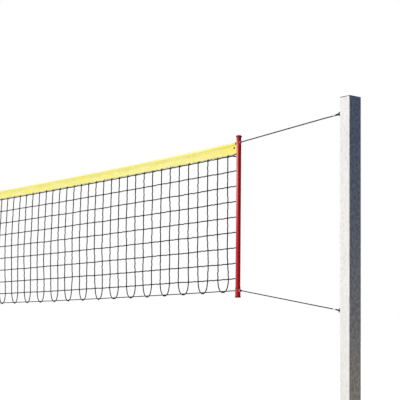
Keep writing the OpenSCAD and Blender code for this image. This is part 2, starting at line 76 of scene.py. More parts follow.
STAVE_X = NET_LEN / 2
POST_FACE_X = STAVE_X + STAVE_TO_POST
HEM_IN_R = TOP_ROPE / 2 + HEM_PLAY
HEM_OUT_R = HEM_IN_R + TAPE_CLOTH
HEM_Z = NET_TOP - HEM_OUT_R
HOLE_Z = HEM_Z + END_RISE
ROW_TOP_Z = NET_TOP - TAPE_H - TAPE_DROP
LAST_ROW_Z = ROW_TOP_Z - MESH * ROWS
LOW_ROPE_Z = LAST_ROW_Z - BOTTOM_ROW_H
HOOK_EYE_X = POST_FACE_X - HOOK_REACH
STAVE_SIDE = STAVE_D / 2 + BUSH_FLANGE_T + BUSH_OUT
FOOT_SIDE = STAVE_SIDE + FOOT_SLEEVE_T
LEFT_BAR = BODY_FROM + BUCKLE_LEN + SCREW_IN + BUCKLE_EYE_R


def sag(x):
    """Hang of the net: a parabola, NET_SAG deep at the middle and nothing at the staves."""
    return -NET_SAG * (1 - (2 * x / NET_LEN) ** 2)


def hem_height(x):
    """Height of the rope in the tape's hem: it sags with the net and climbs in a parabola to the stave's hole."""
    share = np.maximum(0, 1 - (STAVE_X - np.abs(x)) / RISE_LEN)
    return HEM_Z + sag(x) + END_RISE * share**2


def stave_at(z):
    """X of a stave's axis at the height z, its foot leaning towards the net."""
    return STAVE_X - (HOLE_Z - z) * math.tan(STAVE_LEAN)


TOP_SLOPE = math.atan2(TOP_HOOK_H - HOLE_Z, HOOK_EYE_X - STAVE_X - STAVE_SIDE)
LOW_SLOPE = math.atan2(LOW_HOOK_H - LOW_ROPE_Z, HOOK_EYE_X - stave_at(LOW_ROPE_Z) - FOOT_SIDE)

# ---- Camera ----

CAMERA_AT, CAMERA_YAW = (9.467, -4.848, 1.286), math.radians(49.126)
FOCAL_PIXELS, HORIZON_ROW, FRAME_SIZE, SENSOR = 1099.7, 319.95, 400, 36.0

lens = bpy.data.cameras.new("camera")
lens.sensor_width = SENSOR
lens.lens = FOCAL_PIXELS / FRAME_SIZE * SENSOR
lens.shift_y = (HORIZON_ROW - FRAME_SIZE / 2) / FRAME_SIZE
lens.clip_start, lens.clip_end = 0.05, 200
camera = bpy.data.objects.new("camera", lens)
camera.location = CAMERA_AT
camera.rotation_euler = (PI / 2, 0, CAMERA_YAW)
bpy.context.scene.collection.objects.link(camera)
bpy.context.scene.camera = camera


# ---- Finishes ----

X, Y, Z = 0, 1, 2
DUST_TOP, DUST_FULL = 1.5, 0.1  # the posts' dust begins at the first height and is full at the second
HIGHLIGHT_FROM_TO = 1.74, 2.16  # heights between which the painted highlight on the staves grows
YARNS = 9  # in each strand of a rope or twine


class Finish:
    """A material round one Principled shader, with short calls for its nodes. Colours are linear."""

    def __init__(self, name, colour, roughness, **sockets):
        self.material = bpy.data.materials.new(name)
        self.material.use_nodes = True
        self.tree = self.material.node_tree
        self.shader = self.tree.nodes["Principled BSDF"]
        self.shader.inputs["Base Color"].default_value = (*colour, 1)
        self.shader.inputs["Roughness"].default_value = roughness
        for socket, value in sockets.items():
            self.shader.inputs[socket.replace("_", " ")].default_value = value

    def node(self, kind, inputs=None, **settings):
        made = self.tree.nodes.new("ShaderNode" + kind)
        for key, value in settings.items():
            setattr(made, key, value)
        for key, value in (inputs or {}).items():
            self.put(made.inputs[key], value)
        return made

    def put(self, socket, value):
        """Links an output, or sets a plain value."""
        if isinstance(value, bpy.types.NodeSocket):
            self.tree.links.new(value, socket)
        else:
            socket.default_value = value

    def place(self, stretch=(1, 1, 1)):
        """Object coordinates, stretched."""
        source = self.node("TexCoord").outputs["Object"]
        return self.node("Mapping", {"Vector": source, "Scale": stretch}).outputs[0]

    def axis(self, output, k):
        """One coordinate of the object's own place ("Object") or normal ("Normal")."""
        return self.node("SeparateXYZ", {"Vector": self.node("TexCoord").outputs[output]}).outputs[k]

    def own_uv(self):
        """The piece's own map: along and across, in metres."""
        split = self.node("SeparateXYZ", {"Vector": self.node("TexCoord").outputs["UV"]})
        return split.outputs[0], split.outputs[1]

    def noise(self, scale, detail, stretch=(1, 1, 1)):
        inputs = {"Vector": self.place(stretch), "Scale": scale, "Detail": detail}
        return self.node("TexNoise", inputs).outputs["Fac"]

    def cells(self, scale, stretch):
        """A random grey for each cell of a Voronoi pattern."""
        made = self.node("TexVoronoi", {"Vector": self.place(stretch), "Scale": scale})
        return self.node("RGBToBW", {"Color": made.outputs["Color"]}).outputs[0]

    def maths(self, operation, a, b=0.0):
        made = self.node("Math", operation=operation)
        for socket, value in zip(made.inputs, (a, b)):
            self.put(socket, value)
        return made.outputs[0]

    def times(self, a, b):
        return self.maths("MULTIPLY", a, b)

    def spread(self, value, low, high, to_low=0.0, to_high=1.0):
        """value carried from low..high to to_low..to_high, and held there beyond."""
        inputs = {"Value": value, "From Min": low, "From Max": high, "To Min": to_low, "To Max": to_high}
        return self.node("MapRange", inputs).outputs[0]

    def blend(self, share, first, second):
        """The first colour, with that share of the second."""
        made = self.node("Mix", data_type="RGBA")
        self.put(made.inputs[0], share)
        for socket, value in ((made.inputs[6], first), (made.inputs[7], second)):
            self.put(socket, (*value, 1) if isinstance(value, tuple) else value)
        return made.outputs[2]

    def set(self, socket, value):
        self.put(self.shader.inputs[socket], value)

    def bump(self, height, depth):
        made = self.node("Bump", {"Height": height, "Distance": depth})
        self.set("Normal", made.outputs[0])


def outer_face(f):
    """A post's face that points away from the net, and that face's round corners, where the normal also has a
    part along Y: the masks of the posts' painted shade."""
    side = f.maths("SIGN", f.axis("Object", X))
    outward = f.spread(f.times(side, f.axis("Normal", X)), 0.15, 0.55)
    return outward, f.times(outward, f.spread(f.maths("ABSOLUTE", f.axis("Normal", Y)), 0.15, 0.45))


def shaded(colour, share):
    return tuple(share * c for c in colour)


def galvanised(name, colour, dust):
    """Zinc with its spangle, dull stains, drawn-out streaks and sand dust that thins out with height, and painted
    shade on the outer face, away from the key light: darker in mottled patches, with darker round corners."""
    f = Finish(name, colour, 0.5, Specular_IOR_Level=0.02)
    grain = f.noise(62, 4, (1, 1, 0.7))
    mottle = f.spread(grain, 0.35, 0.65, 0, 0.85)
    spangle = f.cells(85, (1, 1, 0.6))
    stain = f.spread(f.noise(7, 5, (1, 1, 0.5)), 0.35, 0.7)
    streak = f.spread(f.noise(40, 3, (1, 1, 0.03)), 0.45, 0.7, 0, 0.5)
    look = f.blend(f.times(f.spread(spangle, 0.1, 0.9), mottle), colour, shaded(colour, 0.80))
    look = f.blend(f.times(stain, 0.22), look, (0.62, 0.63, 0.62))
    look = f.blend(f.times(streak, 0.2), look, (0.70, 0.68, 0.62))
    low = f.spread(f.axis("Object", Z), DUST_TOP, DUST_FULL)
    sand = f.times(low, f.spread(f.noise(5, 4), 0.2, 0.8, 0.2, 0.5))
    look = f.blend(f.times(sand, dust), look, (0.55, 0.47, 0.36))
    # painted shade: the outer face, which the key light doesn't reach, darkened in mottled patches, and its round
    # corners darker still
    outward, corners = outer_face(f)
    painted_shade_outer = f.times(outward, f.spread(grain, 0.42, 0.58, 0, 0.45))
    look = f.blend(painted_shade_outer, look, shaded(colour, 0.4))
    f.set("Base Color", f.blend(f.times(corners, 0.72), look, (0.10, 0.10, 0.105)))
    f.set("Roughness", f.spread(spangle, 0, 1, 0.40, 0.58))
    f.bump(f.maths("ADD", spangle, f.noise(240, 3)), 0.00012)
    return f.material


def plated(name, colour, roughness, metallic):
    """Bright zinc plating on small fittings, with fine grain and rubbed, darker hollows."""
    f = Finish(name, colour, roughness, Metallic=metallic)
    grain = f.noise(900, 3)
    rubbed = f.spread(f.noise(120, 4), 0.35, 0.7)
    f.set("Base Color", f.blend(rubbed, shaded(colour, 0.6), colour))
    f.set("Roughness", f.spread(grain, 0.3, 0.7, roughness - 0.06, roughness + 0.12))
    f.bump(grain, 0.00006)
    return f.material


def painted(name, colour, roughness):
    """Gloss paint or skin on the staves, faintly uneven, with fine scratches along the tube, and a painted highlight:
    a pale, patchy streak on the upper part of the side that faces the key light."""
    f = Finish(name, colour, roughness, Specular_IOR_Level=0.16)
    cloud = f.noise(9, 4)
    scratch = f.spread(f.noise(700, 2, (1, 1, 0.02)), 0.6, 0.75)
    look = f.blend(f.spread(cloud, 0.3, 0.7, 0, 0.35), colour, shaded(colour, 0.75))
    # painted highlight: a pale streak on the side facing the key light, growing with height and ending below the top
    # hole
    highlight_facing = f.spread(f.axis("Normal", Y), -0.85, -0.95)
    height = f.axis("Object", Z)
    upper = f.times(f.spread(height, *HIGHLIGHT_FROM_TO, 0, 0.95), f.spread(height, HOLE_Z + 0.02, HOLE_Z - 0.01))
    painted_highlight = f.times(upper, f.spread(f.noise(50, 4, (1, 1, 0.15)), 0.35, 0.58, 0.62, 1))
    look = f.blend(f.times(highlight_facing, painted_highlight), look, (0.90, 0.29, 0.25))
    f.set("Base Color", f.blend(f.times(scratch, 0.04), look, (0.8, 0.45, 0.42)))
    f.set("Roughness", f.spread(scratch, 0, 1, roughness, roughness + 0.16))
    f.bump(f.noise(160, 3), 0.00008)
    return f.material


def moulded(name, colour, roughness, chalkiness=0.3):
    """Moulded plastic with a fine eroded skin, slightly chalky on its outer side."""
    f = Finish(name, colour, roughness, Specular_IOR_Level=0.2)
    skin = f.noise(1400, 2)
    chalk = f.spread(f.noise(35, 4), 0.4, 0.75, 0, chalkiness)
    f.set("Base Color", f.blend(chalk, colour, tuple(min(1, 1.35 * c + 0.02) for c in colour)))
    f.set("Roughness", f.spread(skin, 0.3, 0.7, roughness - 0.05, roughness + 0.08))
    f.bump(skin, 0.00005)
    return f.material


def cordage(name, colour, lighter, pitch, shine):
    """Twisted fibre: fine yarns run round the strand once in each pitch, and worn fibres are lighter."""
    f = Finish(name, colour, 0.75, Specular_IOR_Level=shine)
    along, across = f.own_uv()
    turn = f.maths("ADD", f.times(along, 2 * PI / pitch), f.times(across, -2 * PI))
    yarn = f.maths("SINE", f.times(turn, YARNS))
    worn = f.spread(f.noise(60, 4), 0.45, 0.75, 0, 0.6)
    look = f.blend(f.spread(yarn, -1, 1, 0, 0.45), colour, lighter)
    f.set("Base Color", f.blend(worn, look, lighter))
    f.bump(f.maths("ADD", yarn, f.noise(2500, 2)), 0.00018)
    return f.material


# Rows of stitching on the tape, measured from the fold over the rope, their stitches and the weave
HEM_SEAM, EDGE_SEAM, STITCH_PITCH, STITCH_SHARE, STITCH_HALF, WEAVE_PITCH = 0.0165, 0.070, 0.005, 0.64, 0.0006, 0.0016


def woven_tape():
    """Coated yellow webbing: a fine square weave, a hem painted lighter and golden as painted light against the shade
    of the fold over the rope, two rows of stitching, puckers, soft stains, and a deeper yellow near the staves."""
    f = Finish("tape_yellow_weave", (0.90, 0.82, 0.22), 0.62, Specular_IOR_Level=0.3, Sheen_Weight=0.1)
    along, across = f.own_uv()
    out = f.maths("ABSOLUTE", across)
    weave = f.times(*(f.maths("SINE", f.times(way, 2 * PI / WEAVE_PITCH)) for way in (along, across)))
    dash = f.maths("LESS_THAN", f.maths("FRACT", f.maths("DIVIDE", along, STITCH_PITCH)), STITCH_SHARE)
    seams = []
    for row in (HEM_SEAM, EDGE_SEAM):
        off = f.maths("ABSOLUTE", f.maths("SUBTRACT", out, row))
        seams.append(f.maths("LESS_THAN", off, STITCH_HALF))
    stitch = f.times(f.maths("MAXIMUM", *seams), dash)
    hem = f.spread(out, HEM_SEAM + 0.004, HEM_SEAM - 0.006)
    stain = f.spread(f.noise(11, 5, (0.5, 1, 1)), 0.4, 0.72)
    soft = f.spread(f.noise(2.2, 3), 0.35, 0.65)
    look = f.blend(soft, (0.94, 0.845, 0.22), (0.94, 0.815, 0.155))
    reach = f.maths("ABSOLUTE", along)
    faded = f.maths("SUBTRACT", f.spread(reach, 2.7, 3.3), f.spread(reach, STAVE_X - 0.24, STAVE_X - 0.18))
    look = f.blend(f.times(faded, 0.15), look, (0.97, 0.90, 0.38))
    look = f.blend(f.spread(reach, STAVE_X - 0.34, STAVE_X - 0.22, 0, 0.5), look, (0.96, 0.79, 0.13))
    look = f.blend(f.times(stain, 0.35), look, (0.96, 0.90, 0.48))
    look = f.blend(f.spread(f.noise(34, 3), 0.50, 0.66, 0, 0.6), look, (0.95, 0.83, 0.10))
    look = f.blend(f.spread(f.noise(27, 3, (1, 1, 1.6)), 0.52, 0.68, 0, 0.5), look, (0.98, 0.96, 0.66))
    # painted light: the hem is lighter to offset the shade that falls on the fold over the rope
    look = f.blend(f.times(hem, 0.75), look, (1.0, 0.905, 0.23))
    near_stave = f.spread(reach, STAVE_X - 0.34, STAVE_X - 0.20, 0, 0.85)
    look = f.blend(f.times(hem, near_stave), look, (1.0, 0.79, 0.09))
    look = f.blend(f.spread(out, TAPE_H - 0.010, TAPE_H + 0.002, 0, 0.4), look, (0.98, 0.94, 0.52))
    look = f.blend(f.spread(weave, -1, 1, 0, 0.12), look, (0.70, 0.58, 0.10))
    f.set("Base Color", f.blend(f.times(stitch, 0.4), look, (0.70, 0.56, 0.08)))
    pucker = f.times(f.noise(130, 2, (1, 0.05, 0.08)), f.spread(out, 0.03, HEM_SEAM))
    relief = f.maths("ADD", f.times(weave, 0.25), f.times(stitch, 2.0))
    f.bump(f.maths("ADD", relief, f.times(pucker, 3)), 0.0002)
    return f.material


ZINC = plated("fittings_zinc", (0.12, 0.115, 0.11), 0.42, 0.42)
CAD_FINISHES = {
    galvanised("post_galvanised", (0.94, 0.89, 0.79), 0.8): ["right_post", "left_post"],
    galvanised("sleeve_galvanised", (0.60, 0.61, 0.60), 1.3): ["right_ground_sleeve", "left_ground_sleeve"],
    moulded("post_cap_grey", (0.05, 0.052, 0.058), 0.5): ["right_post_cap", "left_post_cap"],
    painted("stave_red", (0.64, 0.022, 0.026), 0.36): ["right_stave", "left_stave"],
    moulded("stave_cap_red", (0.36, 0.012, 0.016), 0.42, 0.15): ["right_stave_caps", "left_stave_caps"],
    moulded("foot_sleeve_red", (0.62, 0.016, 0.020), 0.38, 0.1): ["right_foot_sleeve", "left_foot_sleeve"],
    moulded("bush_white", (0.97, 0.93, 0.90), 0.45): ["right_stave_bushes", "left_stave_bushes"],
    plated("eyelet_brass", (0.045, 0.030, 0.010), 0.5, 0.25): ["tape_eyelets"],
    ZINC: [
        "right_top_hook", "right_low_hook", "left_top_hook", "left_low_hook", "hook_inserts", "hook_washers",
        "hook_lock_nuts", "rope_thimbles", "turnbuckle_body", "turnbuckle_hook_eye", "turnbuckle_rope_eye",
        "turnbuckle_nuts"],
    plated("ferrule_aluminium", (0.80, 0.75, 0.70), 0.42, 0.3): ["rope_ferrules"],
}
for finish, names in CAD_FINISHES.items():
    for name in names:
        NODES[name].data.materials.clear()
        NODES[name].data.materials.append(finish)

ROPE_PITCH, LOW_ROPE_PITCH, TWINE_PITCH = 0.024, 0.018, 0.018
ROPE_FINISH = cordage("rope_charcoal", (0.012, 0.013, 0.017), (0.05, 0.053, 0.062), ROPE_PITCH, 0.12)
LOW_ROPE_FINISH = cordage("rope_black", (0.008, 0.008, 0.009), (0.024, 0.024, 0.024), ROPE_PITCH, 0.08)
TWINE_FINISH = cordage("twine_black", (0.007, 0.007, 0.007), (0.020, 0.020, 0.020), TWINE_PITCH, 0.08)


# ---- Tools for round pieces ----

def unit(v):
    return v / np.linalg.norm(v, axis=-1, keepdims=True)


def way_along(path):
    """How far along a path each of its points lies."""
    return np.concatenate([[0], np.cumsum(np.linalg.norm(np.diff(path, axis=0), axis=1))])


def ring_faces(rings, sides, closed=False):
    """Quads between neighbouring rings of points, facing out, and the same quads' corners as (ring, side)."""
    i = np.arange(rings if closed else rings - 1)[:, None, None]
    j = np.arange(sides)[None, :, None]
    corner_i = i + np.array([0, 0, 1, 1])
    corner_j = j + np.array([0, 1, 1, 0])
    quads = (corner_i % rings) * sides + corner_j % sides
    corners = np.stack([corner_i + 0 * corner_j, corner_j + 0 * corner_i], -1)
    return quads.reshape(-1, 4), corners.reshape(-1, 4, 2)


def end_quads(sides):
    """Quads that close a ring of an even number of points, facing along the path."""
    i = np.arange(sides // 2 - 1)[:, None]
    return np.concatenate([i, i + 1, sides - 2 - i, sides - 1 - i], 1)


def rope(path, diameter, sides, strands=3, groove=0.24, pitch=ROPE_PITCH, level=(0.0, 0.0, 1.0), closed=False):
    """A twisted rope along a path. Each ring stands square to the path, and its radius is half the diameter times
    1 - groove * (1 - |cos(strands * a / 2)|), where the angle a goes back once round in each pitch."""
    ahead = np.roll(path, -1, 0) - np.roll(path, 1, 0) if closed else np.gradient(path, axis=0)
    t = unit(ahead)
    s = unit(np.cross(level, t))
    up = np.cross(t, s)
    run = way_along(path)
    a = 2 * PI * np.arange(sides) / sides
    twist = a[None] - 2 * PI * run[:, None] / pitch
    r = diameter / 2 * (1 - groove * (1 - np.abs(np.cos(strands * twist / 2))))
    ring = np.cos(a)[None, :, None] * s[:, None] + np.sin(a)[None, :, None] * up[:, None]
    points = (path[:, None] + r[..., None] * ring).reshape(-1, 3)
    quads, corners = ring_faces(len(path), sides, closed)
    run = np.append(run, run[-1] + np.linalg.norm(path[0] - path[-1]))
    uv = np.stack([run[corners[..., 0]], corners[..., 1] / sides], -1)
    if not closed:
        last = end_quads(sides) + (len(path) - 1) * sides
        first = end_quads(sides)[:, ::-1]
        quads = np.concatenate([quads, first, last])
        uv = np.concatenate([uv, np.zeros((2 * len(first), 4, 2))])
    return points, quads, uv


def joined(parts):
    """Several (points, quads, uv) as one."""
    counts = np.cumsum([0] + [len(p[0]) for p in parts])
    points = np.concatenate([p[0] for p in parts])
    quads = np.concatenate([p[1] + start for p, start in zip(parts, counts)])
    return points, quads, np.concatenate([p[2] for p in parts])


def copies(part, centres, turns):
    """One small shape at many places: part's points turned by each 3x3 matrix and moved to each centre."""
    points, quads, uv = part
    placed = np.einsum("kij,nj->kni", turns, points) + centres[:, None]
    shifted = quads[None] + len(points) * np.arange(len(centres))[:, None, None]
    return placed.reshape(-1, 3), shifted.reshape(-1, 4), np.tile(uv, (len(centres), 1, 1))


def piece(name, part, finish, replaces=()):
    """An object from points, quads and uv, smooth shaded, on the body of the posts and the net."""
    points, quads, uv = part
    mesh = bpy.data.meshes.new(name)
    mesh.vertices.add(len(points))
    mesh.vertices.foreach_set("co", np.asarray(points, np.float32).ravel())
    mesh.loops.add(quads.size)
    mesh.loops.foreach_set("vertex_index", quads.astype(np.int32).ravel())
    mesh.polygons.add(len(quads))
    mesh.polygons.foreach_set("loop_start", np.arange(0, quads.size, 4, dtype=np.int32))
    mesh.polygons.foreach_set("use_smooth", np.ones(len(quads), bool))
    mesh.update(calc_edges=True)
    mesh.uv_layers.new(name="own").data.foreach_set("uv", np.asarray(uv, np.float32).ravel())
    mesh.validate()
    mesh.materials.append(finish)
    made = bpy.data.objects.new(name, mesh)
    bpy.context.scene.collection.objects.link(made)
    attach(made, NET_BODY)
    if replaces:
        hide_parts(*replaces)
    return made


def stepped(path, step):
    """The same path with its points one step apart."""
    run = way_along(path)
    at = np.linspace(0, run[-1], max(2, int(run[-1] / step)) + 1)
    return np.stack([np.interp(at, run, path[:, k]) for k in range(3)], 1)


def eased(path):
    """The path with each inner point moved to the middle of itself and its two neighbours."""
    out = path.copy()
    out[1:-1] = (path[:-2] + path[1:-1] + path[2:]) / 3
    return out


def spline(knots, per_span):
    """A Catmull-Rom curve through the knots, per_span points to each span and the last knot."""
    ends = np.concatenate([[2 * knots[0] - knots[1]], knots, [2 * knots[-1] - knots[-2]]])
    a, b, c, d = (ends[k:len(ends) - 3 + k, None] for k in range(4))
    t = (np.arange(per_span) / per_span)[None, :, None]
    curve = 0.5 * (2 * b + (c - a) * t + (2 * a - 5 * b + 4 * c - d) * t**2 + (3 * b - a - 3 * c + d) * t**3)
    return np.concatenate([curve.reshape(-1, 3), knots[-1:]])


# ---- Ropes, each from its tail at one hook to its tail at the other ----

LOOP_SLACK, LEG_GAP, EDGE_CLEAR = 0.00015, 0.00025, 0.0001
LOOP_STEPS, RUN_STEPS, ROPE_STEP = 25, 161, 0.0025
HEM_ROPE_IN, LOW_ROPE_IN = 0.033, 0.020  # from the stave's axis, or its sleeve, to where a rope's free run begins


def end_loop(bar, diameter):
    """A rope's end in its own plane, u along the rope from the bar and v beside it: the tail, a leg, an arc of
    radius r round the thimble, the other leg, and the point where the rope is straight again."""
    r = bar / 2 + THIMBLE_PLAY + THIMBLE_T + LOOP_SLACK + diameter / 2
    v = diameter / 2 + LEG_GAP
    start = PI / 2 - LOOP_HALF
    a = np.linspace(-start, -2 * PI + start, LOOP_STEPS)
    tail = FERRULE_FROM + FERRULE_LEN + TAIL
    return np.concatenate([
        [[tail, -v], [FERRULE_FROM, -v]],
        np.stack([r * np.cos(a), r * np.sin(a)], 1),
        [[FERRULE_FROM, v], [tail, v], [SETTLE, 0]],
    ])


def behind(bar, diameter, eye):
    """How far a loop sits behind its bar's middle, so that the thimble's edges clear the bent bar."""
    reach = math.sqrt((eye - bar / 2) ** 2 - (diameter / 2 + THIMBLE_EDGE) ** 2)
    return eye - reach + EDGE_CLEAR - bar / 2 - THIMBLE_PLAY


def in_place(flat, side, height, slope, off):
    """Points of a rope's end, carried into the whole model; its line runs through the hook's eye."""
    u = flat[:, 0] + off + HOOK_EYE_R
    return np.stack([side * (HOOK_EYE_X - u * math.cos(slope)), flat[:, 1], height - u * math.sin(slope)], 1)


def through_stave(side, z, reach):
    """The two points where a rope enters and leaves a stave, the outer one first."""
    return np.array([[side * (stave_at(z) + reach), 0, z], [side * (stave_at(z) - reach), 0, z]])


def whole_rope(right, left, z, reach, inner_x, height):
    """Right end, right stave, the run along the net, left stave, left end."""
    x = np.linspace(inner_x, -inner_x, RUN_STEPS)
    run = np.stack([x, 0 * x, height(x)], 1)
    points = [right, through_stave(1, z, reach), run, through_stave(-1, z, reach)[::-1], left[::-1]]
    return eased(stepped(np.concatenate(points), ROPE_STEP))


top_path = whole_rope(
    in_place(end_loop(HOOK_BAR, TOP_ROPE), 1, TOP_HOOK_H, TOP_SLOPE, -behind(HOOK_BAR, TOP_ROPE, HOOK_EYE_R)),
    in_place(end_loop(BUCKLE_EYE_BAR, TOP_ROPE), -1, TOP_HOOK_H, TOP_SLOPE,
             LEFT_BAR - behind(BUCKLE_EYE_BAR, TOP_ROPE, BUCKLE_EYE_R)),
    HOLE_Z, STAVE_SIDE, STAVE_X - HEM_ROPE_IN, hem_height)
LOW_OFF = -behind(HOOK_BAR, LOW_ROPE, HOOK_EYE_R)
low_path = whole_rope(
    in_place(end_loop(HOOK_BAR, LOW_ROPE), 1, LOW_HOOK_H, LOW_SLOPE, LOW_OFF),
    in_place(end_loop(HOOK_BAR, LOW_ROPE), -1, LOW_HOOK_H, LOW_SLOPE, LOW_OFF),
    LOW_ROPE_Z, FOOT_SIDE, stave_at(LOW_ROPE_Z) - FOOT_SIDE - LOW_ROPE_IN, lambda x: LOW_ROPE_Z + sag(x))

STOPPER_D, STOPPER_SIZE, STOPPER_PITCH, STOPPER_OUT = 0.0036, 0.62, 0.020, 0.009


def stopper_knot(centre):
    """A trefoil drawn tight round the rope: (sin t + 2 sin 2t, cos t - 2 cos 2t, -1.3 sin 3t), its third axis
    along X."""
    t = np.linspace(0, 2 * PI, 60, endpoint=False)
    loop = np.stack([-1.3 * np.sin(3 * t), np.sin(t) + 2 * np.sin(2 * t), np.cos(t) - 2 * np.cos(2 * t)], 1)
    path = centre + STOPPER_SIZE * STOPPER_D * loop
    return rope(path, STOPPER_D, 8, pitch=STOPPER_PITCH, level=(1.0, 0.0, 0.0), closed=True)


for side, label in ((1, "right_stopper_knot"), (-1, "left_stopper_knot")):
    at = np.array([
        side * (stave_at(LOW_ROPE_Z) + FOOT_SIDE + STOPPER_OUT), 0, LOW_ROPE_Z + STOPPER_OUT * math.tan(LOW_SLOPE)])
    piece(label, stopper_knot(at), LOW_ROPE_FINISH)

# Grooves take some of a rope's thickness, so its high strands are drawn at these times its nominal diameter
TOP_ROPE_HIGH, LOW_ROPE_HIGH, TWINE_HIGH = 1.12, 1.18, 1.15
top_part = rope(top_path, TOP_ROPE_HIGH * TOP_ROPE, 12)
low_part = rope(low_path, LOW_ROPE_HIGH * LOW_ROPE, 10, groove=0.3, pitch=LOW_ROPE_PITCH)
top_cord = piece("top_tension_rope", top_part, ROPE_FINISH, replaces=["top_rope"])
low_cord = piece("low_tension_rope", low_part, LOW_ROPE_FINISH, replaces=["bottom_rope"])

# ---- Netting ----

COLS = int((NET_LEN - 2 * FIRST_GAP) / MESH) + 2
COLS -= COLS % 2
STRING_X = STAVE_X - FIRST_GAP - MESH * np.arange(COLS)
DRAWN_MOST, DRAWN_ROWS = 0.055, 5  # how far the top row is drawn towards +X, and the rows that are
STRAY = (0.0035, 0.0020, 0.0015)  # how far knots stray along X, Y and Z, in smooth random swings
JITTER_TOP, JITTER_MORE = 0.0012, 0.0022  # each knot's own stray along X at the top, and what is added below


def wander(shape, size):
    """Even random offsets, smoothed once along each axis."""
    n = RNG.uniform(-1, 1, shape)
    n = n + 0.5 * np.roll(n, 1, 0) + 0.5 * np.roll(n, 1, 1)
    return size * n / 1.2


# Places of the knots, by string and row: the rows hang with the rope, the strings stray a little, and the upper
# rows are drawn towards +X, most at the net's middle
row_share = np.arange(ROWS + 1) / ROWS
drawn = np.sin(PI * (STAVE_X - STRING_X) / NET_LEN)[:, None] ** 1.5
drawn = DRAWN_MOST * drawn * np.maximum(0, 1 - row_share * ROWS / DRAWN_ROWS) ** 1.5
knots = np.zeros((COLS, ROWS + 1, 3))
knots[..., X] = STRING_X[:, None] + drawn + wander((COLS, ROWS + 1), STRAY[X]) * (0.25 + row_share)
knots[..., Y] = wander((COLS, ROWS + 1), STRAY[Y]) * row_share
knots[..., Z] = ROW_TOP_Z - MESH * np.arange(ROWS + 1) + sag(STRING_X)[:, None]
knots[:, 1:, Z] += wander((COLS, ROWS), STRAY[Z])
knots[..., X] += RNG.uniform(-1, 1, (COLS, ROWS + 1)) * (JITTER_TOP + JITTER_MORE * row_share)

PER_SPAN = 30
STRING_WAVE, ROW_WAVE = 0.0016, 0.0015


def with_waves(path, size, axis):
    """Adds short waves between the knots: two sines with random phases, 1.7 and 2.9 to a span, and one of 2.3
    across the net, none at a knot itself."""
    n = np.arange(len(path)) / PER_SPAN
    phase = RNG.uniform(0, 2 * PI, 4)
    still = np.sin(PI * n) ** 2
    out = path.copy()
    out[:, axis] += size * still * (np.sin(2 * PI * 1.7 * n + phase[0]) + 0.4 * np.sin(2 * PI * 2.9 * n + phase[1]))
    out[:, Y] += 0.6 * size * still * np.sin(2 * PI * 2.3 * n + phase[2])
    return out


def twine(path):
    return rope(path, TWINE_HIGH * TWINE, 6, strands=2, groove=0.18, pitch=TWINE_PITCH, level=(0.0, 1.0, 0.0))


uprights = [twine(with_waves(spline(knots[k], PER_SPAN), STRING_WAVE, X)) for k in range(COLS)]


def row_line(i):
    """A row through its knots. All but the top row go on to the staves."""
    points = knots[:, i]
    if i > 0:
        z = ROW_TOP_Z - MESH * i
        reach = stave_at(z) - STAVE_D / 2 - TWINE / 2
        right, left = ([[side * reach, 0, z + sag(reach)]] for side in (1, -1))
        points = np.concatenate([right, points, left])
    return with_waves(spline(points, PER_SPAN), ROW_WAVE, Z)


FORK_IN, BEND_IN, BRANCH_LIFT = 0.045, 0.018, 0.007


def top_branches(side):
    """The top row parts into two lines before the stave, which go round it one above the other."""
    start = knots[0 if side > 0 else -1, 0]
    reach = side * (stave_at(start[2]) - STAVE_D / 2 - TWINE / 2)
    fork = np.array([reach - side * FORK_IN, 0, start[2] + 0.001])
    out = []
    for lift in (BRANCH_LIFT, -BRANCH_LIFT):
        bend = np.array([reach - side * BEND_IN, 0, fork[2] + 0.8 * lift])
        out.append(twine(spline(np.array([start, fork, bend, [reach, 0, fork[2] + lift]]), 14)))
    return out


rows = [twine(row_line(i)) for i in range(ROWS + 1)]
rows += top_branches(1) + top_branches(-1)

# Below the last row the strings join in pairs, and the bottom rope runs through their loops
LOOP_BELOW, LOOP_POWER, LOOP_POINTS, LOOP_STEP = 0.0072, 0.71, 60, 0.0033
LOOP_SIDE, LOOP_CROSS, LOOP_TAPER = 0.0072, 0.35, 0.7


def bottom_loop(pair):
    """Half an oval from one string's last knot to the next one's: x follows the cosine and depth a power of the
    sine. One leg passes before the rope and the other behind it, and they cross over below it."""
    first, second = knots[2 * pair, ROWS], knots[2 * pair + 1, ROWS]
    a = np.linspace(0, PI, LOOP_POINTS)
    share = (1 - np.sign(np.cos(a)) * np.abs(np.cos(a)) ** LOOP_POWER) / 2
    line = first + (second - first) * share[:, None]
    depth = BOTTOM_ROW_H + LOOP_BELOW + first[2] - (LAST_ROW_Z + sag(first[0]))
    line[:, Z] -= depth * np.sin(a) ** LOOP_POWER
    line[:, Y] -= LOOP_SIDE * np.clip(np.cos(a) / LOOP_CROSS, -1, 1) * np.sin(a) ** LOOP_TAPER
    return twine(stepped(line, LOOP_STEP))


loops = [bottom_loop(p) for p in range(COLS // 2)]


# Small rings of twine: half the width and half the length of the ellipse, and the thickness
KNOT_RING, WRAP_RING = (0.0026, 0.0052, 0.0042), (0.0052, 0.0028, 0.0040)
LASH_RING, TIE_RING = (0.0058, 0.0078, 0.0034), (0.0030, 0.0038, 0.0036)
KNOT_SLANT, SLANT_STRAY, LASH_STRAY = 0.75, 0.2, 0.3
LASH_BESIDE, LASH_ABOVE = 0.009, 0.0035
TIE_OFF, TIE_TURN = 0.0034, (0.4, 0.5)


def knot_ring(half_width, half_length, thick, points=9):
    """A small closed loop of twine, an ellipse in its own plane."""
    t = np.linspace(0, 2 * PI, points, endpoint=False)
    path = np.stack([half_width * np.cos(t), 0 * t, half_length * np.sin(t)], 1)
    return rope(path, thick, 5, strands=1, groove=0, level=(0.0, 1.0, 0.0), closed=True)


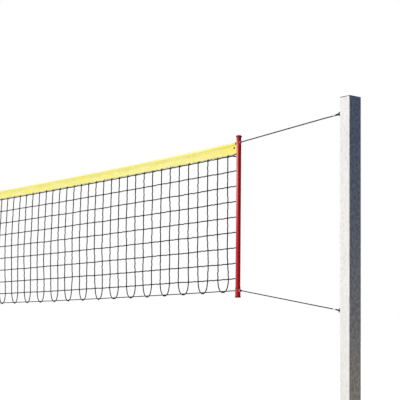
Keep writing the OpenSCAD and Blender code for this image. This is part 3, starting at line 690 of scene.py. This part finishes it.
def turned(about_z, about_y):
    """Matrices that turn a shape about Y and then about Z."""
    c, s, ones, zeros = np.cos, np.sin, np.ones_like(about_z), np.zeros_like(about_z)
    y = np.array([[c(about_y), zeros, s(about_y)], [zeros, ones, zeros], [-s(about_y), zeros, c(about_y)]])
    z = np.array([[c(about_z), -s(about_z), zeros], [s(about_z), c(about_z), zeros], [zeros, zeros, ones]])
    return np.einsum("ijk,jlk->kil", z, y)


# Each crossing is bound by two slanting rings of twine
flat_knots = knots.reshape(-1, 3)
slant = np.where(np.arange(len(flat_knots)) % 2, KNOT_SLANT, -KNOT_SLANT)
slant = slant + RNG.uniform(-SLANT_STRAY, SLANT_STRAY, len(flat_knots))
crossings = copies(knot_ring(*KNOT_RING), flat_knots, turned(PI / 2 + 0 * slant, slant))
wraps = copies(knot_ring(*WRAP_RING), flat_knots, turned(slant, 0.3 * slant))

# The tape's lower edge is lashed to the top row beside every string
lash_x = knots[:, 0, X] + LASH_BESIDE
lash_at = np.stack([lash_x, 0 * lash_x, ROW_TOP_Z + LASH_ABOVE + sag(lash_x)], 1)
lash_turn = turned(PI / 2 + RNG.uniform(-LASH_STRAY, LASH_STRAY, COLS), 0 * lash_x)
lashes = copies(knot_ring(*LASH_RING, points=12), lash_at, lash_turn)


def stave_ties():
    """A small knot where each row ends at a stave's inner side, two for the parted top row."""
    i = np.array([0, *range(ROWS + 1)])
    z = ROW_TOP_Z - MESH * i
    x = stave_at(z) - STAVE_D / 2 - TIE_OFF
    lift = np.zeros(len(i))
    lift[:2] = BRANCH_LIFT, -BRANCH_LIFT
    at = np.concatenate([np.stack([side * x, 0 * x, z + sag(stave_at(z)) + lift], 1) for side in (1, -1)])
    turns = turned(np.full(len(at), TIE_TURN[0]), np.full(len(at), TIE_TURN[1]))
    return copies(knot_ring(*TIE_RING), at, turns)


for name, parts in (
        ("net_strings_odd", uprights[0::2]), ("net_strings_even", uprights[1::2]),
        ("net_rows_upper", rows[:5]), ("net_rows_lower", rows[5:]), ("net_bottom_loops", loops),
        ("net_knots", [crossings]), ("net_knot_wraps", [wraps]), ("net_stave_ties", [stave_ties()])):
    piece(name, joined(parts), TWINE_FINISH, replaces=["net_mesh"])

# ---- Tape folded over the top rope ----

HEM_END = STAVE_X - 0.0300
TAPE_END = STAVE_X - 0.0195
EYELET_Z = NET_TOP - EYELET_DOWN
EYELET_CUT, EYELET_RIM = 0.0050, 0.0085
FOLD_ARC = -8, 188  # degrees of the cloth's way round the rope, from its back over it to its front
EASY_NECK = 0.028  # how far down the cloth swings in from the rope's sides to the two legs
SLACK_LEAST, SLACK_MORE = 0.0025, 0.0055  # cloth above the rope, and what is added near the staves
SLACK_FROM, SLACK_LEN = 2.9, 1.1
RIPPLES = ((0.0011, 0.37, 0), (0.0007, 0.113, 1))  # each one's size, wave length and phase
CALM_FROM, CALM_LEN = 0.10, 0.20  # the ripples fade before the staves
EDGE_LIFT = 0.0012
FINE_STEP, WIDE_STEP = 0.00165, 0.020  # between stations round an eyelet and elsewhere


def fold_section(r, y, slack=0.0):
    """The fold in section from the back edge over the rope to the front edge: (y, z) from the rope's axis. The
    cloth stands above the rope by the slack."""
    eyelet = EYELET_Z - HEM_Z
    low = -TAPE_H + HEM_OUT_R
    leg = np.concatenate([
        np.linspace(low, eyelet - EYELET_RIM, 8)[:-1],
        np.linspace(eyelet - EYELET_RIM, eyelet + EYELET_RIM, 12)[:-1],
        np.linspace(eyelet + EYELET_RIM, -FOLD_NECK, 3)])
    a = np.radians(np.linspace(*FOLD_ARC, 15))
    arc = np.stack([r * np.cos(a), r * np.sin(a) + slack * np.maximum(np.sin(a), 0)], 1)
    neck = arc[0] + (np.array([y, -FOLD_NECK]) - arc[0]) * np.array([[0.66], [0.33]])
    back = np.concatenate([np.stack([y + 0 * leg, leg], 1), neck])
    front = back[::-1] * [-1, 1]
    return np.concatenate([back, arc, front])


def tape_stations():
    """Places along the tape, close together round the eyelets and the ends."""
    fine = STAVE_X - EYELET_IN
    plain = fine - 0.012
    end = np.unique(np.round(np.concatenate([
        np.arange(fine - EYELET_RIM, HEM_END, FINE_STEP), [HEM_END], np.linspace(HEM_END, TAPE_END, 6)]), 6))
    return np.concatenate([-end[::-1], np.arange(-plain, plain, WIDE_STEP), end])


def thick_sheet(outer, inner, keep):
    """A closed skin between two grids of one shape: both sides of every kept cell, and a wall along each edge
    where a kept cell ends. Returns points and quads."""
    n, m = outer.shape[:2]
    o = np.arange(n * m).reshape(n, m)
    i, j = np.nonzero(keep)
    face = np.stack([o[i, j], o[i + 1, j], o[i + 1, j + 1], o[i, j + 1]], 1)
    quads = [face, face[:, ::-1] + n * m]
    ring = np.pad(keep, 1)
    for axis in (0, 1):
        here = ring[1:, 1:-1] != ring[:-1, 1:-1] if axis == 0 else ring[1:-1, 1:] != ring[1:-1, :-1]
        i, j = np.nonzero(here)
        a, b = o[i, j], o[i, j + 1] if axis == 0 else o[i + 1, j]
        quads.append(np.stack([a, b, b + n * m, a + n * m], 1))
    return np.concatenate([outer.reshape(-1, 3), inner.reshape(-1, 3)]), np.concatenate(quads)


def cloth_grid(x, slack, r, y):
    """One skin of the cloth at the stations x: its fold of radius r follows the rope with some slack above it, its
    two legs hang y from the middle and ripple, and their edges lift a little between lashings."""
    section = fold_section(r, y)
    depth = -section[:, 1]
    down = np.clip((depth - FOLD_NECK) / (TAPE_H - FOLD_NECK), 0, 1)
    ripple = sum(size * np.sin(2 * PI * x / length + phase) for size, length, phase in RIPPLES)
    calm = np.clip((STAVE_X - CALM_FROM - np.abs(x)) / CALM_LEN, 0, 1)
    nearest = np.interp(-x, -knots[:, 0, X], np.arange(COLS))
    lift = EDGE_LIFT * (1 - np.cos(2 * PI * nearest)) / 2
    full = np.interp(depth, [-r, 0, EASY_NECK], [0, r - y, 0]) - np.maximum(np.abs(section[:, 0]) - y, 0)
    ease = np.where(depth > 0, np.maximum(full, 0) * np.sign(section[:, 0]), 0)
    grid = np.zeros((len(x), len(section), 3))
    grid[..., X] = x[:, None]
    grid[..., Y] = section[:, 0] + calm[:, None] * ease + (ripple * calm)[:, None] * np.sin(PI * down)
    grid[..., Z] = hem_height(x)[:, None] + section[:, 1] + lift[:, None] * down**2
    grid[..., Z] += slack[:, None] * np.clip(section[:, 1] / r, 0, 1)
    return grid


def kept_cells(middle):
    """Which cells of the cloth's middle surface stay: not the eyelets' holes, nor the hem past its ends."""
    cell = (middle[1:, 1:] + middle[:-1, :-1]) / 2
    away = np.hypot(np.abs(cell[..., X]) - (STAVE_X - EYELET_IN), cell[..., Z] - EYELET_Z)
    in_hem = cell[..., Z] > hem_height(cell[..., X]) - FOLD_NECK
    return (away > EYELET_CUT) & ~(in_hem & (np.abs(cell[..., X]) > HEM_END))


def tape():
    """The tape, and the width of its cloth laid flat. The slack is most near the staves."""
    x = tape_stations()
    slack = SLACK_LEAST + SLACK_MORE * np.clip((np.abs(x) - SLACK_FROM) / SLACK_LEN, 0, 1)
    outer = cloth_grid(x, slack, HEM_OUT_R, LAYER_GAP + TAPE_CLOTH)
    inner = cloth_grid(x, slack, HEM_IN_R, LAYER_GAP)
    points, quads = thick_sheet(outer, inner, kept_cells((outer + inner) / 2))
    section = fold_section(HEM_OUT_R, LAYER_GAP + TAPE_CLOTH, slack.mean())
    run = way_along(section)
    run = run - run[-1] / 2
    flat = np.stack(np.meshgrid(x, run, indexing="ij"), -1).reshape(-1, 2)
    flat = np.concatenate([flat, flat])
    made = piece("net_top_tape", (points, quads, flat[quads]), woven_tape(), replaces=["net_tape"])
    skin = bmesh.new()
    skin.from_mesh(made.data)
    bmesh.ops.delete(skin, geom=[v for v in skin.verts if not v.link_faces], context="VERTS")
    bmesh.ops.recalc_face_normals(skin, faces=skin.faces)
    skin.to_mesh(made.data)
    skin.free()
    return made, float(run[-1] * 2)


tape_piece, tape_cut = tape()
lash_piece = piece("tape_lashings", lashes, TWINE_FINISH)


# ---- Floor, light and background ----

def light_path(tree):
    """1 for rays from the camera, and for mirrored and transmitted ones."""
    source = tree.nodes.new("ShaderNodeLightPath")
    total = source.outputs["Is Camera Ray"]
    for ray in ("Is Glossy Ray", "Is Transmission Ray"):
        add = tree.nodes.new("ShaderNodeMath")
        add.operation = "MAXIMUM"
        tree.links.new(total, add.inputs[0])
        tree.links.new(source.outputs[ray], add.inputs[1])
        total = add.outputs[0]
    return total


FLOOR_HALF, FLOOR_GAP = 60.0, 0.0005
corner = np.array([[-1, -1, 0], [1, -1, 0], [1, 1, 0], [-1, 1, 0]]) * FLOOR_HALF + [0, 0, CAD_BOX[0].z - FLOOR_GAP]
floor_mesh = bpy.data.meshes.new("floor")
floor_mesh.from_pydata(corner.tolist(), [], [(0, 1, 2, 3)])
floor = bpy.data.objects.new("floor", floor_mesh)
bpy.context.scene.collection.objects.link(floor)

floor_look = bpy.data.materials.new("floor_white")
floor_look.use_nodes = True
tree = floor_look.node_tree
tree.nodes.remove(tree.nodes["Principled BSDF"])
seen, glow, ground = (tree.nodes.new("ShaderNode" + k) for k in ("BsdfDiffuse", "Emission", "BsdfDiffuse"))
seen.inputs["Color"].default_value = (0.5, 0.5, 0.5, 1)
glow.inputs["Strength"].default_value = 0.72
ground.inputs["Color"].default_value = (0.03, 0.025, 0.02, 1)
both, pick = tree.nodes.new("ShaderNodeAddShader"), tree.nodes.new("ShaderNodeMixShader")
tree.links.new(seen.outputs[0], both.inputs[0])
tree.links.new(glow.outputs[0], both.inputs[1])
tree.links.new(light_path(tree), pick.inputs[0])
tree.links.new(ground.outputs[0], pick.inputs[1])
tree.links.new(both.outputs[0], pick.inputs[2])
tree.links.new(pick.outputs[0], tree.nodes["Material Output"].inputs[0])
floor_mesh.materials.append(floor_look)

world = bpy.data.worlds.new("studio")
bpy.context.scene.world = world
world.use_nodes = True
tree = world.node_tree
sky = tree.nodes["Background"]
sky.inputs["Color"].default_value = (0.19, 0.42, 1.0, 1)
sky.inputs["Strength"].default_value = 0.285
white, pick = tree.nodes.new("ShaderNodeBackground"), tree.nodes.new("ShaderNodeMixShader")
white.inputs["Color"].default_value = (1, 1, 1, 1)
white.inputs["Strength"].default_value = 1.0
tree.links.new(light_path(tree), pick.inputs[0])
tree.links.new(sky.outputs[0], pick.inputs[1])
tree.links.new(white.outputs[0], pick.inputs[2])
tree.links.new(pick.outputs[0], tree.nodes["World Output"].inputs[0])


def sun(name, towards, strength, spread):
    """A far white lamp that shines from the direction towards."""
    lamp = bpy.data.lights.new(name, "SUN")
    lamp.energy, lamp.angle = strength, math.radians(spread)
    made = bpy.data.objects.new(name, lamp)
    x, y, z = towards
    made.rotation_euler = (math.acos(z / math.sqrt(x * x + y * y + z * z)), 0, math.atan2(y, x) + PI / 2)
    bpy.context.scene.collection.objects.link(made)


def low_glow(name, x):
    """A warm area lamp beside a post near the ground, for the light that the ground sends up."""
    lamp = bpy.data.lights.new(name, "AREA")
    lamp.shape, lamp.size, lamp.size_y = "RECTANGLE", 1.6, 0.5
    lamp.energy, lamp.color = 7.6, (1.0, 0.81, 0.36)
    made = bpy.data.objects.new(name, lamp)
    made.location = (x, 0.3, -0.05)
    made.rotation_euler = (0, math.copysign(math.radians(115), x), 0)
    made.visible_camera = made.visible_glossy = False
    bpy.context.scene.collection.objects.link(made)


sun("key", (-0.27, -0.87, 0.42), 3.5, 8)
sun("back_fill", (-0.30, 0.85, 0.40), 2.4, 25)
low_glow("right_glow", 6.5)
low_glow("left_glow", -6.5)
bpy.context.scene.view_settings.view_transform = "Standard"
